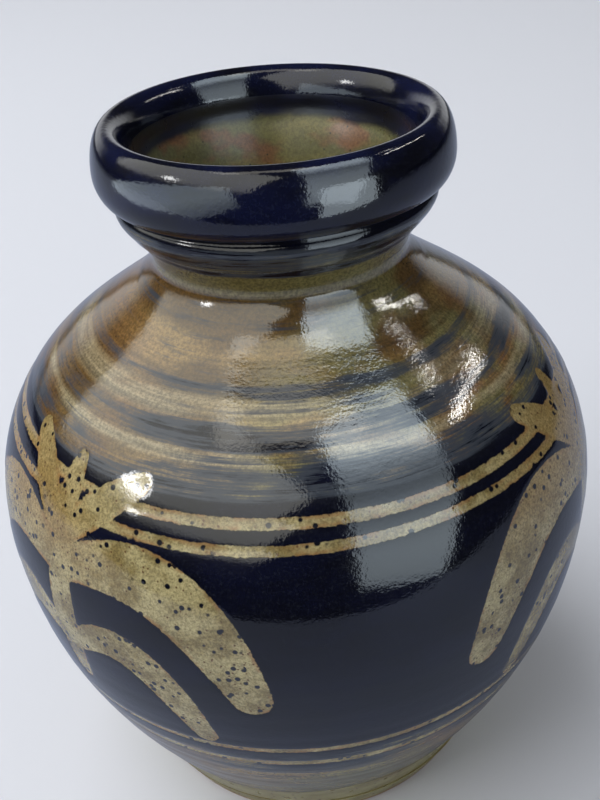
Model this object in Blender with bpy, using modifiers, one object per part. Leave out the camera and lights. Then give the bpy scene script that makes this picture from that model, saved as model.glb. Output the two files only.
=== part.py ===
"""Stoneware pottery vase: a round-bellied pot with a narrow neck and a thick rolled rim.

The pot is built in the sections that a potter throws and lutes together. Each section is a turned
ring, and neighbours meet in a stepped seam: a tongue on the lower section stands inside a rebate
in the upper one. +Z is up, and the origin is the centre of the foot's resting plane.
"""

import bpy
from math import cos, pi, radians, sin

METRES_PER_MM = 0.001

# Driving dimensions, in mm
BELLY_RADIUS = 75.0
BELLY_HEIGHT = 82.0
NECK_RADIUS = 30.0
NECK_HEIGHT = 149.2
WALL_AT_BELLY = 4.2
WALL_AT_NECK = 4.4
RIM_CENTRE_RADIUS = 36.3
RIM_WIDEST_HEIGHT = 169.6
RIM_OUTWARD = 4.2
RIM_INWARD = 4.6
RIM_ABOVE = 9.7
RIM_BELOW = 5.8
FOOT_RADIUS = 50.1
FOOT_HEIGHT = 7.7
FOOT_INNER_RADIUS = 39.5
FOOT_EDGE_ROUND = 1.3
FLOOR_RADIUS = 42.8
FLOOR_UNDERSIDE = 6.5
FLOOR_TOP = 12.3
SEAM_GAP = 0.3
TONGUE_HEIGHT = 2.0

# Seams, from the bottom up: height of the ledge and radius of the tongue's outer face
FOOT_SEAM = (FOOT_HEIGHT, 46.6)
SHOULDER_SEAM = (115.0, 62.9)
NECK_SEAM = (148.4, 28.2)
RIM_SEAM = (163.6, 33.0)

TURN_STEPS = 48
STEPS_PER_SPAN = 2
ROUND_STEPS = 6
EDGE_STEPS = 3

# Outline of the outer wall from the foot to the groove under the rim, as (radius, height)
OUTER_WALL = (
    (FOOT_RADIUS, FOOT_HEIGHT),
    (54.2, 17.7),
    (60.4, 29.5),
    (67.0, 44.5),
    (72.2, 61.5),
    (BELLY_RADIUS, BELLY_HEIGHT),
    (73.6, 100.0),
    (67.6, 114.2),
    (57.4, 126.0),
    (43.5, 135.7),
    (33.3, 143.3),
    (NECK_RADIUS, NECK_HEIGHT),
    (32.3, 154.3),
    (35.8, 158.6),
    (36.9, 161.2),
    (36.2, 163.6),
    (36.6, 165.0),
)

# Outline of the inner wall from the floor's edge to the mouth, as (radius, height)
INNER_WALL = (
    (43.2, 9.6),
    (44.2, 12.8),
    (49.6, 21.0),
    (56.4, 32.5),
    (63.8, 48.5),
    (69.2, 66.0),
    (BELLY_RADIUS - WALL_AT_BELLY, BELLY_HEIGHT + 1.0),
    (68.9, 99.0),
    (62.3, 112.8),
    (51.8, 124.4),
    (38.6, 133.4),
    (28.4, 141.2),
    (NECK_RADIUS - WALL_AT_NECK, NECK_HEIGHT),
    (27.2, 157.0),
    (29.8, 164.5),
    (RIM_CENTRE_RADIUS - RIM_INWARD, RIM_WIDEST_HEIGHT),
    (RIM_CENTRE_RADIUS - RIM_INWARD, RIM_WIDEST_HEIGHT + RIM_ABOVE),
)


def clear_scene():
    for item in list(bpy.data.objects):
        bpy.data.objects.remove(item, do_unlink=True)


def new_collection(name):
    collection = bpy.data.collections.new(name)
    bpy.context.scene.collection.children.link(collection)
    return collection


def clay_material(name, colour, roughness):
    material = bpy.data.materials.new(name)
    material.use_nodes = True
    shader = material.node_tree.nodes["Principled BSDF"]
    shader.inputs["Base Color"].default_value = (*colour, 1.0)
    shader.inputs["Roughness"].default_value = roughness
    shader.inputs["Metallic"].default_value = 0.0
    return material


def smooth_outline(points):
    """A Catmull-Rom curve through the points."""
    padded = [points[0], *points, points[-1]]
    outline = []
    for a, b, c, d in zip(padded, padded[1:], padded[2:], padded[3:]):
        for step in range(STEPS_PER_SPAN):
            t = step / STEPS_PER_SPAN
            outline.append(tuple(
                0.5 * (
                    2 * q
                    + (r - p) * t
                    + (2 * p - 5 * q + 4 * r - s) * t ** 2
                    + (3 * q - p - 3 * r + s) * t ** 3
                )
                for p, q, r, s in zip(a, b, c, d)
            ))
    outline.append(points[-1])
    return outline


def radius_at(outline, height):
    for (low_radius, low), (high_radius, high) in zip(outline, outline[1:]):
        if low <= height <= high:
            share = (height - low) / (high - low)
            return low_radius + share * (high_radius - low_radius)
    raise ValueError(f"the outline has no radius at height {height}")


def stretch(outline, low, high):
    """The part of an outline between two heights, from the bottom up."""
    margin = 0.4
    between = [point for point in outline if low + margin < point[1] < high - margin]
    return [(radius_at(outline, low), low), *between, (radius_at(outline, high), high)]


def tongue(seam):
    """Top of a lower section, from the tongue's inner edge out to the ledge."""
    level, radius = seam
    return [(radius, level + TONGUE_HEIGHT), (radius, level)]


def rebate(seam):
    """Bottom of an upper section, from the ledge in to the rebate's roof."""
    level, radius = seam
    ledge = level + SEAM_GAP
    return [(radius + SEAM_GAP, ledge), (radius + SEAM_GAP, ledge + TONGUE_HEIGHT)]


def wall_section(outer, inner, lower_seam, upper_seam):
    """Closed outline of a wall between two seams: down its outer side and up its inner side."""
    bottom = lower_seam[0] + SEAM_GAP
    top = upper_seam[0]
    return [
        *reversed(stretch(outer, bottom, top)),
        *rebate(lower_seam),
        *stretch(inner, bottom + TONGUE_HEIGHT, top + TONGUE_HEIGHT),
        *tongue(upper_seam),
    ]


def elliptical_arc(centre, radius_reach, height_reach, start, end, steps):
    """An elliptical arc from one angle to another, in degrees from outwards towards up."""
    arc = []
    for step in range(steps + 1):
        angle = radians(start + (end - start) * step / steps)
        arc.append((centre[0] + radius_reach * cos(angle), centre[1] + height_reach * sin(angle)))
    return arc


def rim_outline(outer, inner):
    """The rolled rim: an egg-shaped section that rolls from the mouth over to the groove."""
    centre = (RIM_CENTRE_RADIUS, RIM_WIDEST_HEIGHT)
    roll_under = -75
    bottom = RIM_SEAM[0] + SEAM_GAP
    return [
        *elliptical_arc(centre, RIM_OUTWARD, RIM_ABOVE, 90, 0, ROUND_STEPS),
        *elliptical_arc(centre, RIM_OUTWARD, RIM_BELOW, 0, roll_under, ROUND_STEPS)[1:],
        (radius_at(outer, RIM_SEAM[0]), bottom),
        *rebate(RIM_SEAM),
        *stretch(inner, bottom + TONGUE_HEIGHT, RIM_WIDEST_HEIGHT),
        *elliptical_arc(centre, RIM_INWARD, RIM_ABOVE, 180, 90, ROUND_STEPS)[1:-1],
    ]


def rounded_edge(centre_radius, start, end):
    """A quarter turn round an edge of the foot, next to the plane that it rests on."""
    centre = (centre_radius, FOOT_EDGE_ROUND)
    return elliptical_arc(centre, FOOT_EDGE_ROUND, FOOT_EDGE_ROUND, start, end, EDGE_STEPS)


def foot_outline():
    """The foot ring: flared outside, hollow inside, with a ledge that carries the floor."""
    outer_taper = 3.1
    inner_taper = 0.8
    floor_ledge = FLOOR_UNDERSIDE - SEAM_GAP
    return [
        (FOOT_RADIUS, FOOT_HEIGHT),
        *rounded_edge(FOOT_RADIUS - outer_taper - FOOT_EDGE_ROUND, 0, -90),
        *rounded_edge(FOOT_INNER_RADIUS + inner_taper + FOOT_EDGE_ROUND, -90, -180),
        (FOOT_INNER_RADIUS, floor_ledge),
        (FLOOR_RADIUS + SEAM_GAP, floor_ledge),
        (FLOOR_RADIUS + SEAM_GAP, FOOT_HEIGHT + TONGUE_HEIGHT),
        *tongue(FOOT_SEAM),
    ]


def floor_outline():
    """The floor disc, open at the turning axis, where the screw closes it."""
    return [
        (0.0, FLOOR_TOP),
        (FLOOR_RADIUS, FLOOR_TOP),
        (FLOOR_RADIUS, FLOOR_UNDERSIDE),
        (0.0, FLOOR_UNDERSIDE),
    ]


def turned(name, outline, closed, material, collection):
    """One section, turned from its outline about the vertical axis."""
    count = len(outline)
    edges = [(index, index + 1) for index in range(count - 1)]
    if closed:
        edges.append((count - 1, 0))
    corners = [
        (radius * METRES_PER_MM, 0.0, height * METRES_PER_MM) for radius, height in outline
    ]
    mesh = bpy.data.meshes.new(name)
    mesh.from_pydata(corners, edges, [])
    mesh.materials.append(material)
    section = bpy.data.objects.new(name, mesh)
    collection.objects.link(section)
    screw = section.modifiers.new("Turning", "SCREW")
    screw.axis = "Z"
    screw.angle = 2 * pi
    screw.steps = TURN_STEPS
    screw.render_steps = TURN_STEPS
    screw.use_merge_vertices = True
    screw.merge_threshold = 0.01 * METRES_PER_MM
    screw.use_smooth_shade = True
    return section


def build():
    clear_scene()
    collection = new_collection("Stoneware vase")
    bare_clay = clay_material("Bare clay", (0.45, 0.27, 0.12), 0.75)
    cobalt = clay_material("Cobalt glaze", (0.02, 0.025, 0.05), 0.2)
    ochre = clay_material("Ochre ash glaze", (0.26, 0.17, 0.07), 0.28)
    olive = clay_material("Olive glaze", (0.13, 0.12, 0.05), 0.3)
    outer = smooth_outline(OUTER_WALL)
    inner = smooth_outline(INNER_WALL)
    belly = wall_section(outer, inner, FOOT_SEAM, SHOULDER_SEAM)
    shoulder = wall_section(outer, inner, SHOULDER_SEAM, NECK_SEAM)
    neck = wall_section(outer, inner, NECK_SEAM, RIM_SEAM)
    turned("foot_ring", foot_outline(), True, bare_clay, collection)
    turned("floor_disc", floor_outline(), False, olive, collection)
    turned("belly_wall", belly, True, cobalt, collection)
    turned("shoulder_wall", shoulder, True, ochre, collection)
    turned("neck_collar", neck, True, olive, collection)
    turned("rim_roll", rim_outline(outer, inner), True, cobalt, collection)


build()
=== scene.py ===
"""Looks for the stoneware vase: glazed clay sections, a pale floor, soft window light and a camera.

The glazed skin follows one curve, which runs from the foot up the outer wall, over the rim and down
the inner wall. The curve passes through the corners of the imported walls. Each piece is a closed
turned shell cut from that skin. Lengths are in mm until a mesh is made. Angles around the pot are
in degrees, 0 towards the camera and growing to the right.
"""

from math import ceil, cos, pi, radians, sin, tan

import bpy
import numpy as np
from mathutils import Matrix, Vector


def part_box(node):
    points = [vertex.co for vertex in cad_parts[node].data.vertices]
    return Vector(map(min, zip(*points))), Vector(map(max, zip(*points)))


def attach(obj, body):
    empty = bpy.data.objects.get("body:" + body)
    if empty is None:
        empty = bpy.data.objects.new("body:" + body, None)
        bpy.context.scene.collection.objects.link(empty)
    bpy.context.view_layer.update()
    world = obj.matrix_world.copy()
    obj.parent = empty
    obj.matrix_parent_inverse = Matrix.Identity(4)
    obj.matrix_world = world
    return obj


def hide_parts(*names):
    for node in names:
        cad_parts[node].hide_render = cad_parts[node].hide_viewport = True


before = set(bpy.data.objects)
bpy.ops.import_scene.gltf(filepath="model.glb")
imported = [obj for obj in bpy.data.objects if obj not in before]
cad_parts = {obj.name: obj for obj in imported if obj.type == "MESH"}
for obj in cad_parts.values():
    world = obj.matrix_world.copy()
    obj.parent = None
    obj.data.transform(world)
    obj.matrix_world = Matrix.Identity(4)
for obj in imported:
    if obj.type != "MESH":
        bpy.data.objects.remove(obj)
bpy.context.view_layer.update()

MM = 0.001
BODY = "root"
WALLS = ("belly_wall", "shoulder_wall", "neck_collar", "rim_roll")
COLUMNS = 576
ROW_STEP = 0.75
INNER_ROW_SKIP = 4
JOINT_GAP = 0.3
AROUND = np.arange(COLUMNS) * 360 / COLUMNS

# Shape of the surface, in mm
WOBBLE = 0.22
NECK_RIDGE_HEIGHT = 149.0
GROOVE_HEIGHT = 163.6
WAX_DEPTH = 0.1
WASH_DEPTH = 0.35
# Turned lines: height, half width and how far each stands off the wall, in mm
TURNED_LINES = (
    (NECK_RIDGE_HEIGHT, 0.6, 0.3), (154.3, 0.5, 0.12), (156.6, 0.5, 0.16),
    (GROOVE_HEIGHT, 0.55, -0.75), (143.4, 0.6, 0.05),
)
# The inside carries the liner glaze up to this height. The liner turns to ink a little below it.
LINER_TOP = 172.0

# The thick glaze stops here. Below it the foot carries a thin wash.
GLAZE_EDGE = 17.7

# Pale lines that run right round the pot: height and width in mm
RESIST_LINES = ((117.1, 2.5), (112.8, 2.3), (55.9, 2.0), (48.6, 2.6))
NO_RESIST = -20.0

# The waxed motif: a plain mirrored spray. Each leaf bends from its root past a guide to its tip, in
# (degrees from the stem, height in mm), and swells to its width in mm.
LEAVES = (
    ((0, 99), (27, 117), (36, 76), 15.0),
    ((0, 76), (17, 98), (26, 60), 10.0),
    ((0, 105), (6, 115), (16, 121), 8.0),
    ((0, 105), (0, 113), (0, 121), 7.0),
    ((0, 108), (0, 92), (0, 66), 8.0),
)
LEAF_STEPS = 40
# A leaf's width follows half a sine wave. These are the shares of the wave at its root and tip.
LEAF_ROOT = 0.15
LEAF_TIP = 0.8
MOTIF_STEMS = (-46, 67, 190)
# The motif stays within these heights and this many degrees of its stem.
MOTIF_LOW = 54
MOTIF_HIGH = 128
MOTIF_REACH = 60
MM_PER_DEGREE = 1.25


def section_edges():
    """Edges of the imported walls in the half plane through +X, as pairs of (radius, height)."""
    touch = 0.001 * MM
    edges = []
    for name in WALLS:
        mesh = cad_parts[name].data
        for edge in mesh.edges:
            ends = [mesh.vertices[index].co for index in edge.vertices]
            if all(abs(end.y) < touch and end.x > 0 for end in ends):
                edges.append([(end.x / MM, end.z / MM) for end in ends])
    return edges


def wall_outline(edges, pick):
    """(radius, height) at each corner's height: pick is max for the outer wall, min for the inner."""
    level = 0.01
    heights = sorted({round(height, 2) for edge in edges for radius, height in edge})
    outline = []
    for height in heights:
        radii = []
        for (radius_a, a), (radius_b, b) in edges:
            if abs(b - a) > level and min(a, b) - level <= height <= max(a, b) + level:
                radii.append(radius_a + (radius_b - radius_a) * (height - a) / (b - a))
        outline.append((pick(radii), height))
    return outline


def seam(lower, upper):
    """Heights of the ledge and of the tongue's top, where an upper section stands on a lower one."""
    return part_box(upper)[0].z / MM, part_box(lower)[1].z / MM


def away_from(points, heights):
    """The points without the corners that a seam cuts into the wall at the given heights."""
    reach = JOINT_GAP + 0.1
    return [point for point in points if all(abs(point[1] - height) > reach for height in heights)]


def spaced(points, least):
    """The points without those closer than least to the one kept before them."""
    kept = [points[0]]
    for point in points[1:]:
        if np.hypot(point[0] - kept[-1][0], point[1] - kept[-1][1]) > least:
            kept.append(point)
    return kept


def smooth_curve(points, step):
    """Points every step along the natural cubic spline through the points."""
    points = np.array(points, float)
    gaps = np.linalg.norm(np.diff(points, axis=0), axis=1)
    along = np.concatenate([[0], np.cumsum(gaps)])
    count = len(points)
    system = np.eye(count)
    bends = np.zeros_like(points)
    for i in range(1, count - 1):
        system[i, i - 1:i + 2] = gaps[i - 1], 2 * (gaps[i - 1] + gaps[i]), gaps[i]
        slope_after = (points[i + 1] - points[i]) / gaps[i]
        slope_before = (points[i] - points[i - 1]) / gaps[i - 1]
        bends[i] = 6 * (slope_after - slope_before)
    bend = np.linalg.solve(system, bends)
    at = np.linspace(0, along[-1], ceil(along[-1] / step) + 1)
    i = np.clip(np.searchsorted(along, at) - 1, 0, count - 2)
    gap = gaps[i][:, None]
    after = (at - along[i])[:, None]
    before = gap - after
    return (
        (bend[i] * before ** 3 + bend[i + 1] * after ** 3) / (6 * gap)
        + (points[i] / gap - bend[i] * gap / 6) * before
        + (points[i + 1] / gap - bend[i + 1] * gap / 6) * after
    )


class Skin:
    """The glazed surface as rows along the curve: radius, height, outward direction and length."""

    def __init__(self):
        edges = section_edges()
        floor_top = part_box("floor_disc")[1].z / MM
        closest = 0.9
        ledges, tongue_tops = zip(*(seam(*pair) for pair in zip(WALLS, WALLS[1:-1])))
        outer = away_from(wall_outline(edges, max), ledges)
        # Up to the groove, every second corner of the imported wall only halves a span.
        halved = [point for point in outer if point[1] < GROOVE_HEIGHT - 1]
        outer = [*halved[::2], *spaced(outer[len(halved):], closest)]
        inner = [point for point in wall_outline(edges, min) if point[1] > floor_top - 1]
        inner = spaced(away_from(inner[::-1], tongue_tops), closest)
        rows = smooth_curve([*outer[:-1], *inner], ROW_STEP)
        self.radius, self.height = rows.T
        along = np.gradient(rows, axis=0)
        along /= np.linalg.norm(along, axis=1)[:, None]
        self.out = np.stack([along[:, 1], -along[:, 0]], axis=1)
        self.length = np.concatenate([[0], np.cumsum(np.linalg.norm(np.diff(rows, axis=0), axis=1))])
        self.top = int(np.argmax(self.height))
        self.outer = np.arange(len(rows)) <= self.top

    def row(self, height, outer=True):
        """The row nearest to a height on the outer or the inner side."""
        miss = np.abs(self.height - height)
        miss[self.outer != outer] = np.inf
        return int(np.argmin(miss))

    def length_at(self, height):
        """Distance along the outer wall, from the foot to a height."""
        side = slice(0, self.top + 1)
        return np.interp(height, self.height[side], self.length[side])


def smoothstep(low, high, value):
    share = np.clip((value - low) / (high - low), 0, 1)
    return share * share * (3 - 2 * share)


def leaf_depth(across, up, skin, leaf):
    """Distance inside a leaf, in mm. The leaf is a row of discs along its bend."""
    root, guide, tip, width = leaf
    depth = np.full(across.shape, NO_RESIST)
    for t in np.linspace(0, 1, LEAF_STEPS):
        turn, height = (
            (1 - t) ** 2 * a + 2 * t * (1 - t) * b + t ** 2 * c for a, b, c in zip(root, guide, tip)
        )
        radius = width / 2 * sin(pi * (LEAF_ROOT + (LEAF_TIP - LEAF_ROOT) * t))
        away = np.hypot(across - turn * MM_PER_DEGREE, up - skin.length_at(height))
        depth = np.maximum(depth, radius - away)
    return depth


def resist_depth(skin):
    """How far each skin vertex lies inside the waxed pattern, in mm, as (rows, columns)."""
    depth = np.full((len(skin.height), COLUMNS), NO_RESIST)
    turn = np.radians(AROUND)
    for height, width in RESIST_LINES:
        sway = 0.18 * np.sin(2 * turn + height) + 0.12 * np.sin(5 * turn + 2 * height)
        level = skin.length_at(height)
        depth = np.maximum(depth, width / 2 - np.abs(skin.length[:, None] - level - sway))
    depth[~skin.outer] = NO_RESIST
    rows = np.flatnonzero(skin.outer & (skin.height > MOTIF_LOW) & (skin.height < MOTIF_HIGH))
    for stem in MOTIF_STEMS:
        offset = np.abs((AROUND - stem + 180) % 360 - 180)
        columns = np.flatnonzero(offset < MOTIF_REACH)
        across, up = np.meshgrid(offset[columns] * MM_PER_DEGREE, skin.length[rows])
        patch = np.ix_(rows, columns)
        for leaf in LEAVES:
            depth[patch] = np.maximum(depth[patch], leaf_depth(across, up, skin, leaf))
    return depth


def relief(skin, resist):
    """How far the surface stands off the smooth curve along its outward direction, in mm."""
    turn = np.radians(AROUND)[None, :]
    height = skin.height[:, None]
    length = skin.length[:, None]
    strength = np.interp(
        skin.height,
        (8, 40, 70, 108, 122, 144, 158, 168),
        (0.05, 0.03, 0.008, 0.006, 0.007, 0.007, 0.015, 0.0),
    )[:, None]
    ridges = strength * (
        np.sin(2 * pi * length / 7.3 + turn)
        + 0.6 * np.sin(2 * pi * length / 4.1 - turn + 0.5 * np.sin(2 * turn))
        + 0.5 * np.sin(2 * pi * length / 12.7 + 2 * turn)
    )

    lines = np.zeros_like(ridges)
    for at, width, rise in TURNED_LINES:
        lines = lines + rise * np.exp(-((height - at) / width) ** 2)
    outer = skin.outer[:, None]
    lines = np.where(outer, lines, 0.0)
    waxed = -WAX_DEPTH * smoothstep(-0.4, 0.6, resist)
    edge = GLAZE_EDGE + 0.35 * np.sin(3 * turn + 1.3) + 0.2 * np.sin(8 * turn)
    washed = np.where(outer, -WASH_DEPTH * smoothstep(0.5, -0.5, height - edge), 0.0)
    return ridges + lines + waxed + washed


def skin_points(skin, lift):
    """Positions of the skin's vertices in mm, as (rows, columns, 3)."""
    turn = np.radians(AROUND)[None, :]
    wobble = WOBBLE * (np.cos(2 * turn + 0.6) + 0.5 * np.cos(3 * turn + 2.1))
    radius = skin.radius[:, None] + lift * skin.out[:, :1] + wobble
    height = skin.height[:, None] + lift * skin.out[:, 1:]
    return np.stack([radius * np.sin(turn), -radius * np.cos(turn), height + 0 * turn], axis=2)


def skin_normals(points):
    """Outward normals of the skin's vertices."""
    up = np.gradient(points, axis=0)
    across = np.roll(points, -1, axis=1) - np.roll(points, 1, axis=1)
    normals = np.cross(across, up)
    return normals / np.linalg.norm(normals, axis=2)[:, :, None]


class Shell:
    """A closed turned shell, gathered ring by ring: up the outside, inwards, and down the inside."""

    def __init__(self, name):
        self.name = name
        self.rings = []
        self.normals = []
        self.depths = []
        self.bands = []

    def skin_rows(self, rows, points, normals, depths, band):
        for row in rows:
            self.rings.append(points[row])
            self.normals.append(normals[row])
            self.depths.append(depths[row])
            self.bands.append(band)

    def plain_ring(self, radius, height):
        turn = np.radians(AROUND)
        self.rings.append(np.stack(
            [radius * np.sin(turn), -radius * np.cos(turn), np.full(COLUMNS, float(height))], axis=1
        ))
        self.normals.append(None)
        self.depths.append(np.full(COLUMNS, NO_RESIST))
        self.bands.append(None)

    def build(self, materials):
        """The mesh object. A face between two skin rows is smooth, and any other face is flat."""
        count = len(self.rings)
        vertices = np.concatenate(self.rings) * MM
        column = np.arange(COLUMNS)
        after = (column + 1) % COLUMNS
        faces = []
        corner_normals = []
        material_of_face = []
        for ring in range(count):
            above = (ring + 1) % count
            quads = np.stack([
                ring * COLUMNS + column, ring * COLUMNS + after,
                above * COLUMNS + after, above * COLUMNS + column,
            ], axis=1)
            faces.append(quads)
            bands = self.bands[ring], self.bands[above]
            if None not in bands:
                low, high = self.normals[ring], self.normals[above]
                corner_normals.append(np.stack([low, low[after], high[after], high], axis=1))
            else:
                corners = vertices[quads]
                flat = np.cross(corners[:, 2] - corners[:, 0], corners[:, 3] - corners[:, 1])
                flat /= np.maximum(np.linalg.norm(flat, axis=1), 1e-12)[:, None]
                corner_normals.append(np.repeat(flat[:, None], 4, axis=1))
            material_of_face.append(np.full(COLUMNS, 1 if "inner" in bands else 0))
        mesh = bpy.data.meshes.new(self.name)
        mesh.from_pydata(vertices.tolist(), [], np.concatenate(faces).tolist())
        for material in materials:
            mesh.materials.append(material)
        mesh.polygons.foreach_set("material_index", np.concatenate(material_of_face))
        mesh.shade_smooth()
        depth = mesh.attributes.new("resist", "FLOAT", "POINT")
        depth.data.foreach_set("value", np.concatenate(self.depths).astype(np.float32))
        mesh.normals_split_custom_set(np.concatenate(corner_normals).reshape(-1, 3).tolist())
        piece = bpy.data.objects.new(self.name, mesh)
        bpy.context.scene.collection.objects.link(piece)
        return piece


def wall_piece(name, skin, cut, below, above, materials):
    """A wall section between two seams, with the tongue and rebate of its half-lap joints."""
    points, normals, depths = cut
    shell = Shell(name)
    low_ledge, low_top = below
    first_outer = skin.row(low_ledge)
    last_inner = skin.row(low_top, outer=False)
    if above is None:
        change = skin.row(LINER_TOP, outer=False)
        shell.skin_rows(range(first_outer, change), points, normals, depths, "outer")
        shell.skin_rows(range(change, last_inner + 1), points, normals, depths, "inner")
    else:
        ledge, top = above
        last_outer = skin.row(ledge)
        first_inner = skin.row(top, outer=False)
        shell.skin_rows(range(first_outer, last_outer + 1), points, normals, depths, "outer")
        tongue = (skin.radius[last_outer] + skin.radius[first_inner]) / 2
        shell.plain_ring(tongue, skin.height[last_outer])
        shell.plain_ring(tongue, skin.height[first_inner])
        inner_rows = [*range(first_inner, last_inner, INNER_ROW_SKIP), last_inner]
        shell.skin_rows(inner_rows, points, normals, depths, "inner")
    rebate = (skin.radius[first_outer] + skin.radius[last_inner]) / 2 + JOINT_GAP
    shell.plain_ring(rebate, skin.height[last_inner])
    shell.plain_ring(rebate, skin.height[first_outer])
    return shell.build(materials)


def turned_piece(name, outline, material, sharp_degrees):
    """A closed turned solid from an outline that runs up its outside and back down its inside."""
    outline = np.array(outline)
    turn = np.radians(AROUND)
    on_axis = outline[:, 0] < 1e-6
    vertices = []
    starts = []
    for (radius, height), single in zip(outline, on_axis):
        starts.append(len(vertices))
        if single:
            vertices.append((0.0, 0.0, height * MM))
        else:
            vertices += [
                (radius * MM * sin(angle), -radius * MM * cos(angle), height * MM) for angle in turn
            ]
    faces = []
    count = len(outline)
    for i in range(count):
        above = (i + 1) % count
        if on_axis[i] and on_axis[above]:
            continue
        for j in range(COLUMNS):
            after = (j + 1) % COLUMNS
            low = [starts[i]] if on_axis[i] else [starts[i] + j, starts[i] + after]
            high = [starts[above]] if on_axis[above] else [starts[above] + after, starts[above] + j]
            faces.append((*low, *high))
    mesh = bpy.data.meshes.new(name)
    mesh.from_pydata(vertices, [], faces)
    mesh.materials.append(material)
    mesh.shade_smooth()
    mesh.set_sharp_from_angle(angle=radians(sharp_degrees))
    piece = bpy.data.objects.new(name, mesh)
    bpy.context.scene.collection.objects.link(piece)
    return piece


def foot_outline(skin, below):
    """The turned foot: a ring that tapers in to the ground, soft at its edges, with the floor's ledge."""
    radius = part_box("foot_ring")[1].x / MM
    floor_low, floor_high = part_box("floor_disc")
    ledge, top = below
    first_outer = skin.row(ledge)
    last_inner = skin.row(top, outer=False)
    joint = skin.height[first_outer]
    tongue = (skin.radius[first_outer] + skin.radius[last_inner]) / 2
    inner_radius = 39.5
    round_edge = 1.3
    taper = 3.1
    floor_under = floor_low.z / MM
    floor_radius = floor_high.x / MM

    def edge(centre_radius, start, end):
        angles = np.radians(np.linspace(start, end, 7))
        return [(centre_radius + round_edge * cos(a), round_edge + round_edge * sin(a)) for a in angles]

    side = []
    for height in np.linspace(round_edge, joint - 0.5, 24):
        share = (height - round_edge) / (joint - round_edge)
        turned = 0.06 * sin(2 * pi * height / 1.7)
        side.append((radius - taper * (1 - share) - turned, height))
    return [
        *edge(inner_radius + 0.8 + round_edge, 180, 270),
        *edge(radius - taper - round_edge, 270, 360)[:-1],
        *side,
        (skin.radius[first_outer], joint),
        (tongue, joint),
        (tongue, skin.height[last_inner]),
        (floor_radius + JOINT_GAP, skin.height[last_inner]),
        (floor_radius + JOINT_GAP, floor_under - JOINT_GAP),
        (inner_radius, floor_under - JOINT_GAP),
    ]


def floor_outline(skin, below):
    """The floor: thrown rings on top, which sweep up into the wall, and a plain underside."""
    low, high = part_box("floor_disc")
    under = low.z / MM
    top = high.z / MM
    edge = high.x / MM
    wall = skin.row(below[1], outer=False)
    sweep = 7.0
    surface = []
    for radius in np.linspace(skin.radius[wall] - 0.05, 0, 90):
        rise = 1.6 * (max(0.0, radius - edge + sweep) / sweep) ** 2
        rings = 0.12 * sin(2 * pi * radius / 5.5) * min(1, radius / 12)
        surface.append((radius, top + rise + rings))
    surface[-1] = (0.0, surface[-1][1])
    return [(0.0, under), (edge, under), (edge, skin.height[wall] - 0.1), *surface]


# Materials


def srgb(red, green, blue):
    """A colour given as it shows on a screen, from 0 to 255."""
    def linear(value):
        value /= 255
        return value / 12.92 if value <= 0.04045 else ((value + 0.055) / 1.055) ** 2.4
    return (linear(red), linear(green), linear(blue), 1.0)


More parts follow.
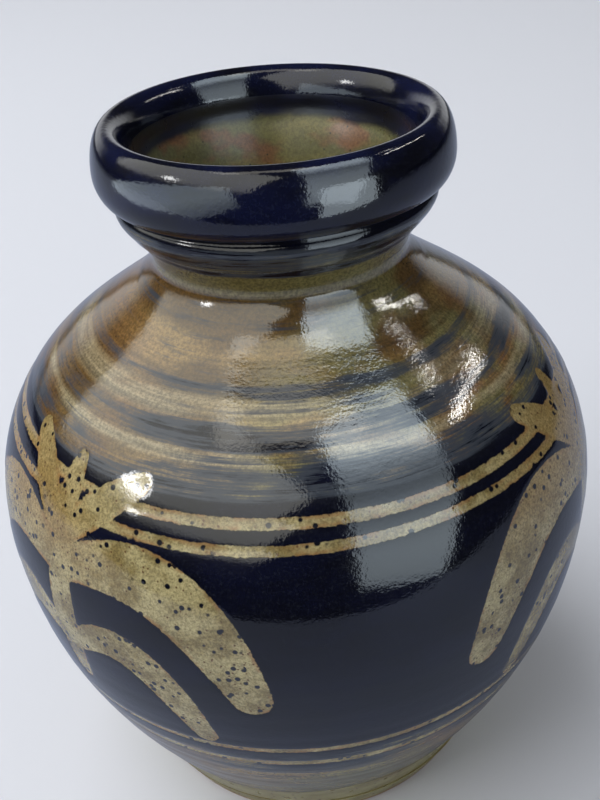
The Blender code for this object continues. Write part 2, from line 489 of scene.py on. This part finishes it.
class Tree:
    """A material's or world's node tree, with a short call for each kind of node."""

    def __init__(self, owner):
        self.owner = owner
        owner.use_nodes = True
        self.nodes = owner.node_tree.nodes
        self.links = owner.node_tree.links

    def set(self, socket, value):
        if isinstance(value, bpy.types.NodeSocket):
            self.links.new(value, socket)
        else:
            socket.default_value = value

    def math(self, operation, a, b=0.0, clamp=False):
        node = self.nodes.new("ShaderNodeMath")
        node.operation = operation
        node.use_clamp = clamp
        self.set(node.inputs[0], a)
        self.set(node.inputs[1], b)
        return node.outputs[0]

    def add(self, a, b):
        return self.math("ADD", a, b)

    def times(self, a, b):
        return self.math("MULTIPLY", a, b)

    def between(self, value, low, high, out_low=0.0, out_high=1.0):
        """The value's smooth rise from out_low to out_high as it goes from low to high."""
        node = self.nodes.new("ShaderNodeMapRange")
        node.interpolation_type = "SMOOTHSTEP"
        self.set(node.inputs["Value"], value)
        self.set(node.inputs["From Min"], low)
        self.set(node.inputs["From Max"], high)
        self.set(node.inputs["To Min"], out_low)
        self.set(node.inputs["To Max"], out_high)
        return node.outputs["Result"]

    def mix(self, share, a, b, blend="MIX"):
        """A mix of two colours. The node's sockets 6 and 7 are its colour inputs, output 2 the colour."""
        node = self.nodes.new("ShaderNodeMix")
        node.data_type = "RGBA"
        node.blend_type = blend
        self.set(node.inputs["Factor"], share)
        self.set(node.inputs[6], a)
        self.set(node.inputs[7], b)
        return node.outputs[2]

    def ramp(self, value, stops):
        """A grey level that follows (value, level) stops, for values in mm."""
        low, high = stops[0][0], stops[-1][0]
        node = self.nodes.new("ShaderNodeValToRGB")
        node.color_ramp.interpolation = "LINEAR"
        elements = node.color_ramp.elements
        while len(elements) < len(stops):
            elements.new(0.5)
        for element, (at, level) in zip(elements, stops):
            element.position = (at - low) / (high - low)
        for element, (at, level) in zip(elements, stops):
            element.color = (level, level, level, 1.0)
        self.set(node.inputs["Fac"], self.times(self.add(value, -low), 1 / (high - low)))
        return node.outputs["Color"]

    def place(self):
        return self.nodes.new("ShaderNodeTexCoord").outputs["Object"]

    def axis(self, name, vector=None):
        node = self.nodes.new("ShaderNodeSeparateXYZ")
        self.set(node.inputs[0], vector if vector is not None else self.place())
        return node.outputs[name]

    def height(self):
        return self.times(self.axis("Z"), 1 / MM)

    def towards(self, azimuth, low, high):
        """Rises from 0 at low to 1 at high, in mm from the axis towards an azimuth."""
        turn = radians(azimuth)
        along = self.add(self.times(self.axis("X"), sin(turn)), self.times(self.axis("Y"), -cos(turn)))
        return self.between(along, low * MM, high * MM)

    def scaled(self, across, up, seed, vector=None):
        """Positions stretched so that one unit is across mm sideways and up mm in height."""
        node = self.nodes.new("ShaderNodeMapping")
        self.set(node.inputs["Vector"], vector if vector is not None else self.place())
        node.inputs["Scale"].default_value = (1 / (across * MM), 1 / (across * MM), 1 / (up * MM))
        node.inputs["Location"].default_value = (seed, 2 * seed, 3 * seed)
        return node.outputs["Vector"]

    def noise(self, across, up, seed, detail=3.0, rough=0.55, vector=None):
        """Noise about 0.5 in patches that are across mm wide and up mm high."""
        node = self.nodes.new("ShaderNodeTexNoise")
        self.set(node.inputs["Vector"], self.scaled(across, up, seed, vector))
        node.inputs["Scale"].default_value = 1.0
        node.inputs["Detail"].default_value = detail
        node.inputs["Roughness"].default_value = rough
        return node.outputs["Fac"]

    def swing(self, across, up, seed, reach, detail=3.0, rough=0.55):
        """Noise about 0 that mostly stays within a third of reach."""
        return self.times(self.add(self.noise(across, up, seed, detail, rough), -0.5), reach)

    def cells(self, spacing, seed):
        """The node of scattered cells that are about spacing mm apart."""
        node = self.nodes.new("ShaderNodeTexVoronoi")
        self.set(node.inputs["Vector"], self.scaled(spacing, spacing, seed))
        node.inputs["Scale"].default_value = 1.0
        return node

    def dots(self, spacing, seed, low, high):
        """Scattered round dots: 1 within low and 0 beyond high, as shares of their spacing."""
        return self.between(self.cells(spacing, seed).outputs["Distance"], high, low)

    def resist(self):
        node = self.nodes.new("ShaderNodeAttribute")
        node.attribute_name = "resist"
        return node.outputs["Fac"]

    def ray(self, kind):
        return self.nodes.new("ShaderNodeLightPath").outputs[kind]

    def finish(self, colour, roughness, heights, depth, shine=0.5):
        """Sets the glossy surface: its colour, roughness, fine bumps with their depth in mm, and shine."""
        shader = self.nodes["Principled BSDF"]
        self.set(shader.inputs["Specular IOR Level"], shine)
        self.set(shader.inputs["Base Color"], colour)
        self.set(shader.inputs["Roughness"], roughness)
        shader.inputs["IOR"].default_value = 1.5
        bump = self.nodes.new("ShaderNodeBump")
        self.set(bump.inputs["Height"], heights)
        bump.inputs["Distance"].default_value = depth * MM
        self.set(shader.inputs["Normal"], bump.outputs["Normal"])
        return self.owner


INK = srgb(8, 9, 21)
INK_BLUE = srgb(15, 20, 50)
BLUE_GREY = srgb(60, 65, 73)
GOLDEN_BROWN = srgb(142, 116, 68)
DEEP_BROWN = srgb(92, 70, 36)
PALE_TAN = srgb(154, 144, 114)
OLIVE = srgb(116, 112, 70)
RUST = srgb(120, 82, 46)
CREAM = srgb(168, 156, 112)
CREAM_SHADE = srgb(124, 109, 67)
LINE_ORANGE = srgb(142, 102, 58)
SPECK = srgb(84, 50, 28)
WASH = srgb(158, 150, 106)
WASH_SHADE = srgb(138, 126, 80)
WASH_RUST = srgb(96, 56, 30)
BARE_CLAY = srgb(158, 118, 78)
LINER_OLIVE = srgb(118, 110, 60)
LINER_GREEN = srgb(94, 92, 56)
LINER_RUST = srgb(120, 76, 48)
LINER_SPECK = srgb(40, 38, 24)

# How much cobalt lies on the glaze at each height in mm, from none at 0 to solid ink at 1
COBALT_BELOW = (
    (15, 0.0), (20, 0.02), (24, 0.12), (27, 0.05), (30, 0.3), (32.5, 0.1), (35, 0.22), (38, 0.12),
    (41, 0.3), (43, 0.62), (46, 0.72), (47.5, 0.9), (51, 0.85), (53, 0.95), (57, 1.0), (80, 1.0),
)
COBALT_ABOVE = (
    (110, 1.0), (118.6, 1.0), (120.2, 0.96), (121.3, 0.78), (124.4, 0.72), (125.3, 0.3), (126.3, 0.1),
    (127.1, 0.3), (127.7, 0.68), (129.8, 0.76), (130.5, 0.6), (131.1, 0.16), (132.2, 0.3),
    (133.2, 0.14), (134.1, 0.4), (134.9, 0.66), (135.4, 0.55), (136, 0.14), (137.4, 0.02),
    (142.4, 0.0), (143.2, 0.3), (144.2, 0.3), (145, 0.0), (153.5, 0.0), (154.7, 0.8), (156, 0.7),
    (156.9, 0.5), (158, 0.76), (161, 0.74), (162.8, 1.0), (170, 1.0),
)
# Where the glaze broke pale between the streaks of cobalt
PALE_RINGS = (
    (18, 0.5), (40, 0.35), (70, 0.0), (124.8, 0.0), (125.8, 0.75), (126.6, 0.75), (127.4, 0.0),
    (130.4, 0.0), (131.2, 0.6), (133.4, 0.5), (134.4, 0.0), (148.2, 0.0), (149, 0.45), (149.8, 0.0),
    (170, 0.0),
)


def clay_colour(tree):
    """The glaze without cobalt: golden brown with deep, olive and rusty patches and thin streaks."""
    deep = tree.between(tree.noise(24, 8, 3.1, detail=4), 0.38, 0.62)
    upper = tree.add(tree.height(), tree.swing(24, 24, 4.3, 6.0))
    deep = tree.math("MAXIMUM", deep, tree.between(upper, 140.5, 143))
    colour = tree.mix(deep, GOLDEN_BROWN, DEEP_BROWN)
    front_right = tree.times(tree.towards(60, 4, 30), tree.between(tree.noise(20, 9, 7.7), 0.38, 0.56))
    colour = tree.mix(tree.times(front_right, 0.85), colour, OLIVE)
    sides = tree.math("MAXIMUM", tree.towards(75, 26, 50), tree.towards(-85, 26, 44))
    rusty = tree.between(tree.noise(16, 8, 12.4), 0.4, 0.6)
    colour = tree.mix(tree.times(rusty, tree.add(tree.times(sides, 0.8), 0.08)), colour, RUST)
    colour = tree.mix(tree.times(tree.towards(-85, 24, 44), 0.7), colour, DEEP_BROWN)
    neck = tree.between(tree.height(), 147.5, 149.5)
    colour = tree.mix(tree.times(neck, 0.6), colour, OLIVE)
    pale = tree.ramp(tree.add(tree.height(), tree.swing(26, 20, 17.3, 1.2)), PALE_RINGS)
    pale = tree.times(pale, tree.between(tree.noise(20, 3, 19.6), 0.3, 0.6))
    colour = tree.mix(pale, colour, PALE_TAN)
    streaks = tree.between(tree.noise(60, 0.55, 22.1, detail=4, rough=0.7), 0.3, 0.7, 0.66, 1.26)
    streaked = tree.between(tree.height(), 142, 136, 0.25, 1.0)
    colour = tree.mix(streaked, colour, tree.mix(1.0, colour, streaks, "MULTIPLY"))
    grain = tree.between(tree.noise(0.7, 0.7, 1.3, detail=3, rough=0.7), 0.3, 0.7, 0.62, 1.34)
    return tree.mix(1.0, colour, grain, "MULTIPLY")


def cobalt_amount(tree):
    """Brushed rings of cobalt: the amount by height, broken up into thin streaks."""
    height = tree.add(tree.height(), tree.swing(44, 60, 5.0, 1.6))
    below = tree.ramp(height, COBALT_BELOW)
    above = tree.ramp(height, COBALT_ABOVE)
    amount = tree.mix(tree.between(tree.height(), 82, 90), below, above)
    loose = tree.between(amount, 0.985, 0.85)
    streaks = tree.add(
        tree.swing(50, 0.6, 9.0, 1.7, detail=4, rough=0.75),
        tree.swing(20, 3.2, 15.0, 2.2, detail=4, rough=0.65),
    )
    fade = tree.add(
        tree.times(tree.towards(-75, 24, 52), -0.36),
        tree.times(tree.towards(70, 28, 52), -0.26),
    )
    return tree.math("ADD", amount, tree.times(tree.add(streaks, fade), loose), clamp=True)


def waxed_colour(tree, depth):
    """The bare, waxed clay: cream with grain, rusty specks and an orange edge."""
    patch = tree.between(tree.noise(9, 7, 21.0, detail=5, rough=0.65), 0.36, 0.62)
    colour = tree.mix(patch, CREAM, CREAM_SHADE)
    sides = tree.math("MAXIMUM", tree.towards(70, 52, 66), tree.towards(-70, 52, 68))
    browner = tree.times(sides, tree.between(tree.height(), 94, 110))
    colour = tree.mix(tree.times(browner, 0.75), colour, GOLDEN_BROWN)
    grain = tree.between(tree.noise(0.6, 0.6, 2.2, detail=3, rough=0.75), 0.3, 0.7, 0.6, 1.36)
    colour = tree.mix(1.0, colour, grain, "MULTIPLY")
    edge = tree.times(tree.between(depth, 1.2, 0.1), tree.between(tree.noise(7, 3, 31.0), 0.44, 0.62))
    colour = tree.mix(tree.times(edge, 0.75), colour, LINE_ORANGE)
    specks = tree.times(tree.dots(1.3, 40.0, 0.12, 0.26), tree.between(tree.noise(7, 5, 44.0), 0.42, 0.56))
    return tree.mix(tree.times(specks, 0.85), colour, SPECK)


def wax_beads(tree):
    """Blue-black beads of glaze that stayed on the wax, mostly in loose rows round the pot."""
    spacing = 1.9
    seed = 50.0
    cell = tree.cells(spacing, seed)
    beads = tree.between(cell.outputs["Distance"], 0.4, 0.24)
    bead_height = tree.times(tree.add(tree.axis("Z", cell.outputs["Position"]), -3 * seed), spacing)
    row_spacing = 4.3
    rows = tree.math("SINE", tree.times(bead_height, 2 * pi / row_spacing))
    rows = tree.between(tree.add(rows, tree.swing(14, 9, 53.0, 3.0)), 0.1, 0.3)
    chance = tree.axis("X", cell.outputs["Color"])
    in_row = tree.times(rows, tree.between(chance, 0.4, 0.42))
    astray = tree.between(chance, 0.88, 0.9)
    return tree.times(beads, tree.math("MAXIMUM", in_row, astray))


def glassy(tree, colour, dulled=0.0, shine=0.5):
    """A fired glaze: glossy, with a fine pebbled surface."""
    roughness = tree.add(tree.between(tree.noise(6, 6, 70.0), 0.3, 0.7, 0.07, 0.11), dulled)
    pebbles = tree.add(
        tree.noise(1.3, 1.3, 80.0, detail=2),
        tree.times(tree.noise(0.5, 0.5, 85.0, detail=1), 0.5),
    )
    return tree.finish(colour, roughness, pebbles, 0.03, shine)


def wash_colour(tree):
    """The foot's thin yellow-green wash over sandy clay, rusty just under the thick glaze."""
    colour = tree.mix(tree.between(tree.noise(9, 4, 130.0), 0.35, 0.65), WASH, WASH_SHADE)
    edge = tree.add(tree.height(), tree.swing(5, 3, 133.0, 2.4))
    edge = tree.times(tree.between(edge, GLAZE_EDGE - 2.4, GLAZE_EDGE - 0.6),
                      tree.between(tree.noise(12, 9, 135.0), 0.4, 0.55))
    colour = tree.mix(tree.times(edge, 0.85), colour, WASH_RUST)
    return tree.mix(tree.dots(2.4, 137.0, 0.12, 0.2), colour, SPECK)


def glaze(name, blue_share):
    """The outer glaze of a piece. Its colour depends only on the place on the pot."""
    tree = Tree(bpy.data.materials.new(name))
    amount = cobalt_amount(tree)
    colour = tree.mix(tree.between(amount, 0.08, 0.66), clay_colour(tree), BLUE_GREY)
    blue = tree.between(tree.noise(16, 6, 18.0, detail=4), 0.36, 0.66)
    ink = tree.mix(tree.times(blue, blue_share), INK, INK_BLUE)
    colour = tree.mix(tree.between(amount, 0.68, 1.0), colour, ink)
    dust = tree.between(tree.noise(0.6, 0.6, 61.0, detail=2, rough=0.7), 0.5, 0.72)
    colour = tree.mix(tree.times(dust, 0.16), colour, BLUE_GREY)
    depth = tree.add(tree.resist(), tree.swing(1.5, 1.5, 60.0, 1.0, detail=3, rough=0.7))
    waxed = tree.between(depth, -0.12, 0.2)
    waxed_paint = tree.mix(wax_beads(tree), waxed_colour(tree, depth), INK)
    colour = tree.mix(waxed, colour, waxed_paint)
    thick = tree.add(tree.height(), tree.swing(14, 14, 66.0, 1.6))
    thick = tree.between(thick, GLAZE_EDGE - 0.3, GLAZE_EDGE + 0.2)
    colour = tree.mix(thick, wash_colour(tree), colour)
    dulled = tree.add(tree.times(waxed, 0.03), tree.between(thick, 1.0, 0.0, 0.0, 0.2))
    shine = tree.math("MAXIMUM", tree.between(amount, 0.7, 0.1, 0.5, 0.8), tree.times(waxed, 0.95))
    return glassy(tree, colour, dulled, shine)


def liner_glaze(name):
    """The glaze inside: olive with rusty and grey-green patches, and ink where it nears the rim."""
    tree = Tree(bpy.data.materials.new(name))
    patch = tree.between(tree.noise(20, 12, 101.0), 0.35, 0.65)
    colour = tree.mix(patch, LINER_OLIVE, LINER_GREEN)
    rusty = tree.between(tree.noise(16, 9, 104.0), 0.48, 0.62)
    colour = tree.mix(tree.times(rusty, 0.8), colour, LINER_RUST)
    colour = tree.mix(tree.dots(3.0, 110.0, 0.05, 0.11), colour, LINER_SPECK)
    grain = tree.between(tree.noise(0.7, 0.7, 112.0, detail=3, rough=0.7), 0.3, 0.7, 0.7, 1.26)
    colour = tree.mix(1.0, colour, grain, "MULTIPLY")
    height = tree.add(tree.height(), tree.swing(16, 30, 117.0, 5.0))
    blue = tree.between(tree.noise(16, 6, 18.0, detail=4), 0.36, 0.66)
    ink = tree.mix(tree.times(blue, 0.8), INK, INK_BLUE)
    return glassy(tree, tree.mix(tree.between(height, 166.6, 168.6), colour, ink), 0.2)


def foot_clay(name):
    """The trimmed foot: the wash, with bare clay where the pot rests."""
    tree = Tree(bpy.data.materials.new(name))
    bare = tree.between(tree.height(), 1.6, 0.9)
    colour = tree.mix(bare, wash_colour(tree), BARE_CLAY)
    grain = tree.noise(0.6, 0.6, 140.0, detail=3, rough=0.7)
    return tree.finish(colour, tree.between(bare, 0, 1, 0.3, 0.8), grain, 0.04)


# Stage

TABLE_FRONT = -0.33
BACKDROP = srgb(204, 207, 216)
FLOOR = srgb(212, 214, 220)
# Painted shade: the floor as the glaze mirrors it, darker and bluer than the floor itself, standing in for
# shade on the floor near the pot.
FLOOR_MIRRORED_WITH_PAINTED_SHADE = srgb(150, 158, 178)
WINDOW_COLOUR = (0.78, 0.91, 1.0)
# Brightness of the mirrored windows from their bottom edge at 0 to their top edge at 1
WINDOW_RIGHT = ((0, 0.3), (0.05, 0.44), (0.25, 0.52), (0.45, 0.4), (0.62, 0.2), (0.78, 0.8), (1, 0.7))
RIM_PANEL = ((0, 0.3), (0.5, 0.9), (1, 0.8))
WINDOW_LEFT = ((0, 0.0), (0.24, 0.03), (0.37, 0.52), (0.6, 0.6), (1, 0.6))


def floor_material():
    """A pale floor that fades into the backdrop far from the pot.

    Only the camera sees it past the front edge, so the glaze mirrors a dim room.
    """
    tree = Tree(bpy.data.materials.new("pale_floor"))
    shader = tree.nodes["Principled BSDF"]
    # Glossy rays see the floor in its darker, bluer colour: painted shade in the glaze's reflection of the
    # floor.
    colour = tree.mix(tree.ray("Is Glossy Ray"), FLOOR, FLOOR_MIRRORED_WITH_PAINTED_SHADE)
    across = tree.add(tree.math("POWER", tree.axis("X"), 2.0), tree.math("POWER", tree.axis("Y"), 2.0))
    far = tree.between(across, 0.4, 4.0)
    tree.set(shader.inputs["Base Color"], tree.mix(far, colour, (0.0, 0.0, 0.0, 1.0)))
    tree.set(shader.inputs["Emission Color"], BACKDROP)
    tree.set(shader.inputs["Emission Strength"], tree.times(far, tree.ray("Is Camera Ray")))
    shader.inputs["Roughness"].default_value = 0.5
    shader.inputs["Specular IOR Level"].default_value = 0.2
    clear = tree.nodes.new("ShaderNodeBsdfTransparent")
    mixer = tree.nodes.new("ShaderNodeMixShader")
    unseen = tree.times(tree.between(tree.axis("Y"), TABLE_FRONT, TABLE_FRONT - 0.002),
                        tree.math("SUBTRACT", 1.0, tree.ray("Is Camera Ray")))
    tree.set(mixer.inputs["Fac"], unseen)
    tree.set(mixer.inputs[1], shader.outputs["BSDF"])
    tree.set(mixer.inputs[2], clear.outputs["BSDF"])
    tree.set(tree.nodes["Material Output"].inputs["Surface"], mixer.outputs["Shader"])
    return tree.owner


def direction(azimuth, elevation):
    """Unit vector from the pot: azimuth 0 is towards the camera and 90 to its right."""
    a, e = radians(azimuth), radians(elevation)
    return Vector((sin(a) * cos(e), -cos(a) * cos(e), sin(e)))


def area_light(name, centre, up, wide, tall, distance, radiance, colour):
    """A rectangular light that faces the pot. Its width and height are angles in degrees."""
    light = bpy.data.lights.new(name, "AREA")
    light.shape = "RECTANGLE"
    light.size = 2 * distance * tan(radians(wide / 2))
    light.size_y = 2 * distance * tan(radians(tall / 2))
    light.energy = radiance * pi * light.size * light.size_y
    light.color = colour
    item = bpy.data.objects.new(name, light)
    bpy.context.scene.collection.objects.link(item)
    across = up.cross(centre).normalized()
    axes = Matrix((across, centre.cross(across), centre)).transposed()
    item.matrix_world = Matrix.Translation(Vector((0, 0, 0.1)) + centre * distance) @ axes.to_4x4()
    return item


def mirrored(name, azimuth, elevation, lean, wide, tall, distance, radiance, colour):
    """A light that only the glaze mirrors. Lean tips its top clockwise as the pot sees it."""
    centre = direction(azimuth, elevation)
    upright = Vector((0, 0, 1))
    sideways = upright.cross(centre).normalized()
    up = centre.cross(sideways)
    up = up * cos(radians(lean)) + sideways * sin(radians(lean))
    item = area_light(name, centre, up, wide, tall, distance, radiance, colour)
    item.visible_diffuse = False
    item.visible_camera = False
    return item


def shade(item, stops):
    """Shades a light from its bottom edge at 0 to its top edge at 1."""
    tree = Tree(item.data)
    upward = tree.axis("Y", tree.nodes.new("ShaderNodeNewGeometry").outputs["Parametric"])
    tree.set(tree.nodes["Emission"].inputs["Strength"], tree.ramp(upward, stops))


def rim_only(item, rim):
    """Lets a light reach the rim alone, which mirrors more of the windows than the belly does."""
    group = bpy.data.collections.new(item.name)
    group.objects.link(rim)
    item.light_linking.receiver_collection = group


def glint(name, start, end, wide, radiance):
    """A narrow bright strip between two directions, each (azimuth, elevation)."""
    a, b = direction(*start), direction(*end)
    length = a.angle(b)
    item = area_light(name, (a + b).normalized(), (b - a).normalized(), wide,
                      length * 180 / pi, 2.0, radiance, (1.0, 0.97, 0.92))
    item.visible_diffuse = False
    item.visible_camera = False


def room():
    """Pale for the camera. The glaze mirrors it as dim, but bright low down behind the pot."""
    world = bpy.data.worlds.new("room")
    bpy.context.scene.world = world
    tree = Tree(world)
    seen = tree.nodes.new("ShaderNodeTexCoord").outputs["Generated"]
    behind = tree.between(tree.axis("Y", seen), 0.6, 0.85)
    low = tree.between(tree.axis("Z", seen), 0.36, 0.2)
    mirrored_level = tree.add(tree.times(tree.times(behind, low), 0.85), 0.03)
    soft_level = 0.38
    level = tree.mix(tree.ray("Is Glossy Ray"), (soft_level,) * 3 + (1,), mirrored_level)
    colour = tree.mix(1.0, level, (0.95, 0.97, 1.0, 1.0), "MULTIPLY")
    background = tree.nodes["Background"]
    tree.set(background.inputs["Color"], tree.mix(tree.ray("Is Camera Ray"), colour, BACKDROP))
    background.inputs["Strength"].default_value = 1.0


def studio(rim):
    """Soft light from the left, two windows that the glaze mirrors, a room and a floor."""
    key = area_light("key", direction(-90, 56), Vector((0, 0, 1)), 72, 60, 2.4, 2.9, (0.97, 0.98, 1.0))
    key.visible_glossy = False
    key.visible_camera = False
    shade(mirrored("window_right", 42, 30, 14, 38, 82, 3.0, 7.0, WINDOW_COLOUR), WINDOW_RIGHT)
    shade(mirrored("window_left", -64, 37, 0, 96, 68, 3.0, 3.6, (0.96, 0.96, 0.88)), WINDOW_LEFT)
    mirrored("ceiling", -4, 75, 0, 44, 12, 3.0, 2.2, (1.0, 0.95, 0.82))
    mirrored("lamp", -69, 28, 20, 9, 6, 2.6, 16.0, (1.0, 1.0, 1.0))
    glint("glint_high", (97, 50), (106, 46), 0.4, 34.0)
    glint("glint_low", (119, 30), (104, 38), 0.5, 40.0)
    glint("glint_end", (104, 38), (87, 41), 1.2, 34.0)
    rim_only(mirrored("rim_pane", 43, -5, 0, 34, 40, 0.6, 4.2, WINDOW_COLOUR), rim)
    panel = mirrored("rim_panel", -66, -1, -22, 88, 38, 0.6, 2.9, WINDOW_COLOUR)
    shade(panel, RIM_PANEL)
    rim_only(panel, rim)
    room()
    build_floor()


def build_floor():
    plate = bpy.data.meshes.new("floor")
    reach = 6.0
    corners = [(-reach, -reach, 0), (reach, -reach, 0), (reach, reach, 0), (-reach, reach, 0)]
    plate.from_pydata(corners, [], [(0, 1, 2, 3)])
    plate.materials.append(floor_material())
    floor = bpy.data.objects.new("floor", plate)
    bpy.context.scene.collection.objects.link(floor)


def camera():
    """A hand-held view from just above the rim: it looks down, and the picture leans a little."""
    pitch = radians(32.67)
    yaw = radians(0.56)
    roll = radians(-3.93)
    forward = Vector((sin(yaw) * cos(pitch), cos(yaw) * cos(pitch), -sin(pitch)))
    right = forward.cross(Vector((0, 0, 1))).normalized()
    up = right.cross(forward)
    leaning_right = right * cos(roll) + up * sin(roll)
    leaning_up = up * cos(roll) - right * sin(roll)
    data = bpy.data.cameras.new("camera")
    data.lens = 45
    data.sensor_width = 36
    data.clip_start = 0.01
    item = bpy.data.objects.new("camera", data)
    axes = Matrix((leaning_right, leaning_up, -forward)).transposed()
    item.matrix_world = Matrix.Translation((0, -0.2172, 0.2428)) @ axes.to_4x4()
    bpy.context.scene.collection.objects.link(item)
    bpy.context.scene.camera = item


def build():
    """Builds every piece and gives back the rim."""
    skin = Skin()
    resist = resist_depth(skin)
    points = skin_points(skin, relief(skin, resist))
    cut = points, skin_normals(points), resist
    liner = liner_glaze("liner_glaze")
    foot_seam = seam("foot_ring", "belly_wall")
    shoulder_seam = seam("belly_wall", "shoulder_wall")
    neck_seam = seam("shoulder_wall", "neck_collar")
    rim_seam = seam("neck_collar", "rim_roll")
    pieces = (
        ("foot_ring", "bare_clay",
         turned_piece("foot", foot_outline(skin, foot_seam), foot_clay("foot_clay"), 40)),
        ("floor_disc", "floor_glaze",
         turned_piece("floor_inside", floor_outline(skin, foot_seam), liner, 40)),
        ("belly_wall", "belly_glaze",
         wall_piece("belly", skin, cut, foot_seam, shoulder_seam,
                    [glaze("belly_glaze", 0.3), liner])),
        ("shoulder_wall", "shoulder_glaze",
         wall_piece("shoulder", skin, cut, shoulder_seam, neck_seam,
                    [glaze("shoulder_glaze", 0.3), liner])),
        ("neck_collar", "neck_glaze",
         wall_piece("neck", skin, cut, neck_seam, rim_seam,
                    [glaze("neck_glaze", 0.3), liner])),
        ("rim_roll", "rim_glaze",
         wall_piece("rim", skin, cut, rim_seam, None, [glaze("rim_glaze", 0.8), liner])),
    )
    for node, slot, piece in pieces:
        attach(piece, BODY)
        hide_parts(node)
    return pieces[-1][2]


studio(build())
camera()
bpy.context.scene.view_settings.view_transform = "Standard"
